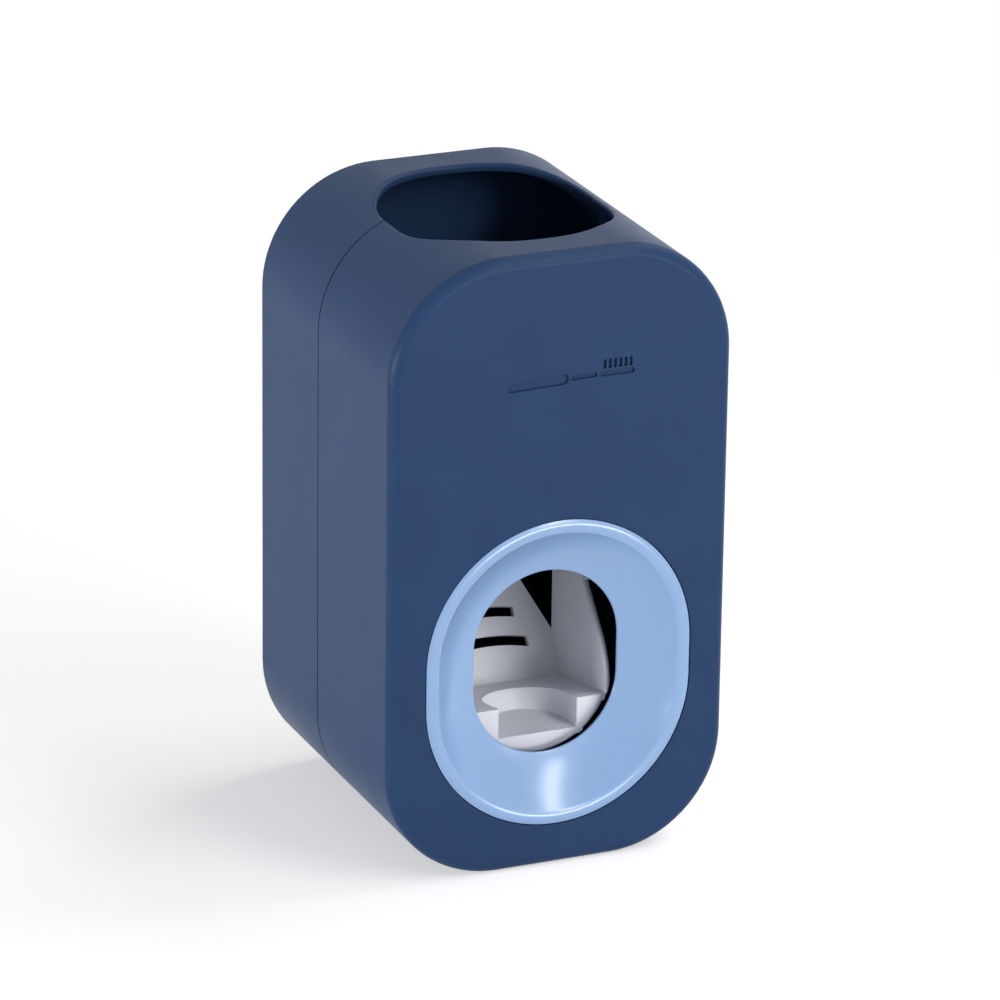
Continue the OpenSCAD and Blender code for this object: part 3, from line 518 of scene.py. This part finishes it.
def screw(name, node, place, turn, shank_r, length, head_r, head_t):
    """A threaded screw with a domed head and a cross recess. It points down before it is placed."""
    rings = []
    count = math.ceil(length / THREAD_PITCH * THREAD_STEPS)
    for k in range(count + 1):
        under = length * (1 - k / count)
        tip = min(1, TIP_BLUNT + (length - under) / TIP)
        circle = screw_circle(tip, -under)
        rings.append([(a, r * thread_radius(under, a, shank_r), z) for a, r, z in circle])
    rings += [screw_circle(head_r * radius, head_t * height) for radius, height in HEAD_SHAPE]
    vertices = [(r * math.cos(a), r * math.sin(a), z) for ring in rings for a, r, z in ring]
    plain = mesh_object(name, vertices, tube_faces(len(rings), SCREW_SIDES), sharp=50)
    reach = RECESS_REACH * head_r
    half = RECESS_HALF * head_r
    cutter = cross_cutter(reach, half, RECESS_FLOOR * head_t, RECESS_TOP * head_t)
    mesh = cut_mesh(plain.data, cutter, sharp=40)
    bpy.data.objects.remove(plain)
    mesh.transform(Matrix.Translation(place) @ turn)
    whole = dress(scene_object(name, mesh), "steel")
    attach(whole, "housing")
    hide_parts(node)


def frame_screws(head_r=2.7 * MM, head_t=1.9 * MM, shank_r=1.25 * MM):
    """Four screws that hold the inner frame to the bosses of the rear shell, heads to the front."""
    low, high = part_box("frame_screws")
    seat = low.y + head_t
    turn = Matrix.Rotation(math.pi / 2, 4, "X")
    for i, x in enumerate((low.x + head_r, high.x - head_r)):
        for j, z in enumerate((low.z + head_r, high.z - head_r)):
            name = f"frame_screw_{i}{j}"
            place = Vector((x, seat, z))
            screw(name, "frame_screws", place, turn, shank_r, high.y - seat, head_r, head_t)


def collar_screws(head_r=1.9 * MM, head_t=1.2 * MM, shank_r=1 * MM):
    """Two screws that hold the inlet collar, heads up."""
    low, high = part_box("collar_screws")
    seat = high.z - head_t
    turn = Matrix.Identity(4)
    for i, y in enumerate((low.y + head_r, high.y - head_r)):
        name = f"collar_screw_{i}"
        place = Vector((0, y, seat))
        screw(name, "collar_screws", place, turn, shank_r, seat - low.z, head_r, head_t)


def rounded_outline(width, height, radius, steps=8):
    """Points round a rectangle with rounded corners, centred on the origin."""
    points = []
    for quarter, (sx, sz) in enumerate(((1, 1), (-1, 1), (-1, -1), (1, -1))):
        for k in range(steps + 1):
            angle = math.pi / 2 * (quarter + k / steps)
            x = sx * (width / 2 - radius) + radius * math.cos(angle)
            z = sz * (height / 2 - radius) + radius * math.sin(angle)
            points.append((x, z))
    return points


def foam_pad():
    """Foam tape behind the wall plate, with cut edges that bulge a little."""
    low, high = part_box("adhesive_pad")
    middle = (low + high) / 2
    width = high.x - low.x
    height = high.z - low.z
    thick = high.y - low.y
    drawn_in = 0.3 * MM
    corner = 8.5 * MM
    layers = 6
    vertices = []
    for k in range(layers + 1):
        t = k / layers
        inset = drawn_in * (2 * t - 1) ** 4
        for x, z in rounded_outline(width - 2 * inset, height - 2 * inset, corner - inset):
            vertices.append(Vector((middle.x + x, low.y + thick * t, middle.z + z)))
    sides = len(rounded_outline(width, height, corner))
    pad = mesh_object("foam_pad", vertices, tube_faces(layers + 1, sides), sharp=60)
    dress(pad, "foam")
    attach(pad, "wall_mount")
    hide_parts("adhesive_pad")


# Front sign

SIGN_Z = 88.5 * MM
SIGN_DEPTH = 0.45 * MM
SIGN_X = 1.5 * MM
CUTTER_OVER = 1 * MM
BRISTLES = 6
BRISTLE_STEP = 0.95


def prism(outline, y_low, y_high, bm):
    """Adds to bm a prism that runs along Y, from an outline in X and Z."""
    rings = []
    for y in (y_low, y_high):
        rings.append([bm.verts.new((x, y, z)) for x, z in outline])
    count = len(outline)
    for i in range(count):
        j = (i + 1) % count
        bm.faces.new((rings[0][i], rings[0][j], rings[1][j], rings[1][i]))
    bm.faces.new(rings[0][::-1])
    bm.faces.new(rings[1])


def bar_outline(x0, z0, x1, z1, r0, r1, steps=6):
    """Outline of a bar with round ends between two points, wider at one end."""
    angle = math.atan2(z1 - z0, x1 - x0)
    points = []
    for x, z, r, start in ((x1, z1, r1, -math.pi / 2), (x0, z0, r0, math.pi / 2)):
        for k in range(steps + 1):
            a = angle + start + math.pi * k / steps
            points.append((x + r * math.cos(a), z + r * math.sin(a)))
    return points


def sign_parts():
    """Outlines of a plain toothbrush seen from the side, in millimetres about the sign's middle."""
    parts = [bar_outline(-11, -1.1, -1.5, -0.6, 0.75, 0.95), bar_outline(0.25, -0.6, 4.2, -0.5, 0.42, 0.42)]
    parts.append(bar_outline(5.5, -0.5, 11, -0.5, 0.5, 0.5))
    for k in range(BRISTLES):
        x = 5.9 + BRISTLE_STEP * k
        parts.append([(x - 0.3, 0.35), (x + 0.3, 0.35), (x + 0.3, 1.95), (x - 0.3, 1.95)])
    return parts


def engraved_front():
    """The front shell with the sign cut into its face."""
    bm = bmesh.new()
    for outline in sign_parts():
        placed = [(SIGN_X + x * MM, SIGN_Z + z * MM) for x, z in outline]
        prism(placed, FRONT_Y - CUTTER_OVER, FRONT_Y + SIGN_DEPTH, bm)
    bmesh.ops.recalc_face_normals(bm, faces=bm.faces)
    mesh = bpy.data.meshes.new("sign_cutter")
    bm.to_mesh(mesh)
    bm.free()
    cutter = scene_object("sign_cutter", mesh)
    plain = nodes["front_shell"].data
    engraved = cut_mesh(plain, cutter)
    carry_normals(plain, engraved)
    shell = scene_object("front_shell_engraved", engraved)
    dress(shell, "shell_plastic")
    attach(shell, "front_cover")
    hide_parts("front_shell")


# Studio


def light_path_mask(tree):
    """1 for camera, glossy and transmission rays, and 0 for the rays that light surfaces."""
    path = tree.nodes.new("ShaderNodeLightPath")
    total = None
    for name in ("Is Camera Ray", "Is Glossy Ray", "Is Transmission Ray"):
        if total is None:
            total = path.outputs[name]
            continue
        add = tree.nodes.new("ShaderNodeMath")
        add.operation = "MAXIMUM"
        tree.links.new(total, add.inputs[0])
        tree.links.new(path.outputs[name], add.inputs[1])
        total = add.outputs[0]
    return total


def white_world(level):
    """A world that lights softly and shows as white."""
    world = bpy.data.worlds.new("studio")
    bpy.context.scene.world = world
    world.use_nodes = True
    tree = world.node_tree
    tree.nodes.clear()
    soft = tree.nodes.new("ShaderNodeBackground")
    soft.inputs["Color"].default_value = (1, 1, 1, 1)
    soft.inputs["Strength"].default_value = level
    white = tree.nodes.new("ShaderNodeBackground")
    white.inputs["Color"].default_value = (1, 1, 1, 1)
    white.inputs["Strength"].default_value = 1
    mix = tree.nodes.new("ShaderNodeMixShader")
    output = tree.nodes.new("ShaderNodeOutputWorld")
    tree.links.new(light_path_mask(tree), mix.inputs["Fac"])
    tree.links.new(soft.outputs[0], mix.inputs[1])
    tree.links.new(white.outputs[0], mix.inputs[2])
    tree.links.new(mix.outputs[0], output.inputs["Surface"])


FLOOR_R = 2.5
FLOOR_GLOW = 0.5
FLOOR_PALE = 0.8
FLOOR_UNDER = 0.05 * MM
FADE_START = 0.08
FADE_END = 0.30


def floor_material():
    """Pale near the middle and white further out. Rays that light surfaces meet only the pale."""
    material = bpy.data.materials.new("floor")
    material.use_nodes = True
    tree = material.node_tree
    tree.nodes.clear()
    diffuse = tree.nodes.new("ShaderNodeBsdfDiffuse")
    diffuse.inputs["Color"].default_value = (FLOOR_PALE, FLOOR_PALE, FLOOR_PALE, 1)
    glow = tree.nodes.new("ShaderNodeEmission")
    glow.inputs["Strength"].default_value = FLOOR_GLOW
    near = tree.nodes.new("ShaderNodeAddShader")
    tree.links.new(diffuse.outputs[0], near.inputs[0])
    tree.links.new(glow.outputs[0], near.inputs[1])
    white = tree.nodes.new("ShaderNodeEmission")
    white.inputs["Strength"].default_value = 1
    place = tree.nodes.new("ShaderNodeTexCoord")
    length = tree.nodes.new("ShaderNodeVectorMath")
    length.operation = "LENGTH"
    tree.links.new(place.outputs["Object"], length.inputs[0])
    fade = tree.nodes.new("ShaderNodeMapRange")
    fade.interpolation_type = "SMOOTHSTEP"
    fade.inputs["From Min"].default_value = FADE_START
    fade.inputs["From Max"].default_value = FADE_END
    tree.links.new(length.outputs["Value"], fade.inputs["Value"])
    shown = tree.nodes.new("ShaderNodeMixShader")
    tree.links.new(fade.outputs["Result"], shown.inputs["Fac"])
    tree.links.new(near.outputs[0], shown.inputs[1])
    tree.links.new(white.outputs[0], shown.inputs[2])
    lit = tree.nodes.new("ShaderNodeMixShader")
    tree.links.new(light_path_mask(tree), lit.inputs["Fac"])
    tree.links.new(diffuse.outputs[0], lit.inputs[1])
    tree.links.new(shown.outputs[0], lit.inputs[2])
    output = tree.nodes.new("ShaderNodeOutputMaterial")
    tree.links.new(lit.outputs[0], output.inputs["Surface"])
    return material


def floor():
    """A round floor that keeps the object's shadow."""
    steps = 96
    angles = [2 * math.pi * k / steps for k in range(steps)]
    ring = [(FLOOR_R * math.cos(a), FLOOR_R * math.sin(a), 0) for a in angles]
    mesh = bpy.data.meshes.new("floor")
    mesh.from_pydata(ring, [], [tuple(range(steps))])
    mesh.materials.append(floor_material())
    obj = scene_object("floor", mesh)
    obj.location.z = -FLOOR_UNDER


AIM_BEHIND_FRONT = 29.5 * MM
AIM = Vector((0, FRONT_Y + AIM_BEHIND_FRONT, BODY_H / 2))
WORLD_LEVEL = 0.2

# Name, direction, distance, width, height, level and roll in degrees of each lamp
LAMPS = (
    ("key", (0.373, -0.678, 0.635), 0.7, 0.12, 0.6, 0.42, -32),
    ("front", (0.373, -0.92, 0.01), 0.8, 0.5, 0.1, 0.38, 0),
    ("left", (-0.98, -0.1, 0.01), 0.9, 0.6, 0.12, 0.76, 0),
    ("top", (0.6, 0.1, 0.79), 0.9, 0.6, 0.6, 0.42, 0),
)


def softbox(name, direction, distance, width, height, level, roll):
    """A soft lamp some way off in a direction. Its level is what it gives a white face turned to it."""
    light = bpy.data.lights.new(name, "AREA")
    light.shape = "RECTANGLE"
    light.size = width
    light.size_y = height
    light.energy = level * math.pi**2 * distance**2
    lamp = bpy.data.objects.new(name, light)
    bpy.context.scene.collection.objects.link(lamp)
    way = Vector(direction).normalized()
    lamp.location = AIM + way * distance
    turn = (-way).to_track_quat("-Z", "Y") @ Quaternion((0, 0, 1), math.radians(roll))
    lamp.rotation_euler = turn.to_euler()


def studio():
    white_world(WORLD_LEVEL)
    for lamp in LAMPS:
        softbox(*lamp)
    floor()


CAMERA_TURN = math.radians(23.449)
CAMERA_RISE = math.radians(20.539)
CAMERA_ROLL = math.radians(0.75)
CAMERA_DISTANCE = 1.05137
CAMERA_LENS = 219.915
AIM_RIGHT = 1.43 * MM
AIM_UP = 1.164 * MM


def camera():
    """The photograph's viewpoint: left of the front and a little above."""
    flat = math.cos(CAMERA_RISE)
    back = Vector((-math.sin(CAMERA_TURN) * flat, -math.cos(CAMERA_TURN) * flat, math.sin(CAMERA_RISE)))
    level = Vector((math.cos(CAMERA_TURN), -math.sin(CAMERA_TURN), 0))
    up = back.cross(level)
    right = level * math.cos(CAMERA_ROLL) + up * math.sin(CAMERA_ROLL)
    up = up * math.cos(CAMERA_ROLL) - level * math.sin(CAMERA_ROLL)
    place = AIM + back * CAMERA_DISTANCE
    aim = AIM + right * AIM_RIGHT + up * AIM_UP
    backward = (place - aim).normalized()
    right = (right - backward * right.dot(backward)).normalized()
    up = backward.cross(right)
    data = bpy.data.cameras.new("camera")
    data.lens = CAMERA_LENS
    data.sensor_width = 36
    data.clip_start = 0.05
    obj = bpy.data.objects.new("camera", data)
    bpy.context.scene.collection.objects.link(obj)
    obj.matrix_world = Matrix.Translation(place) @ Matrix((right, up, backward)).transposed().to_4x4()
    bpy.context.scene.camera = obj


camera()
finish_cad_nodes()
engraved_front()
pump_tube()
lever_spring(-1)
lever_spring(1)
frame_screws()
collar_screws()
foam_pad()
studio()
bpy.context.scene.view_settings.view_transform = "Standard"
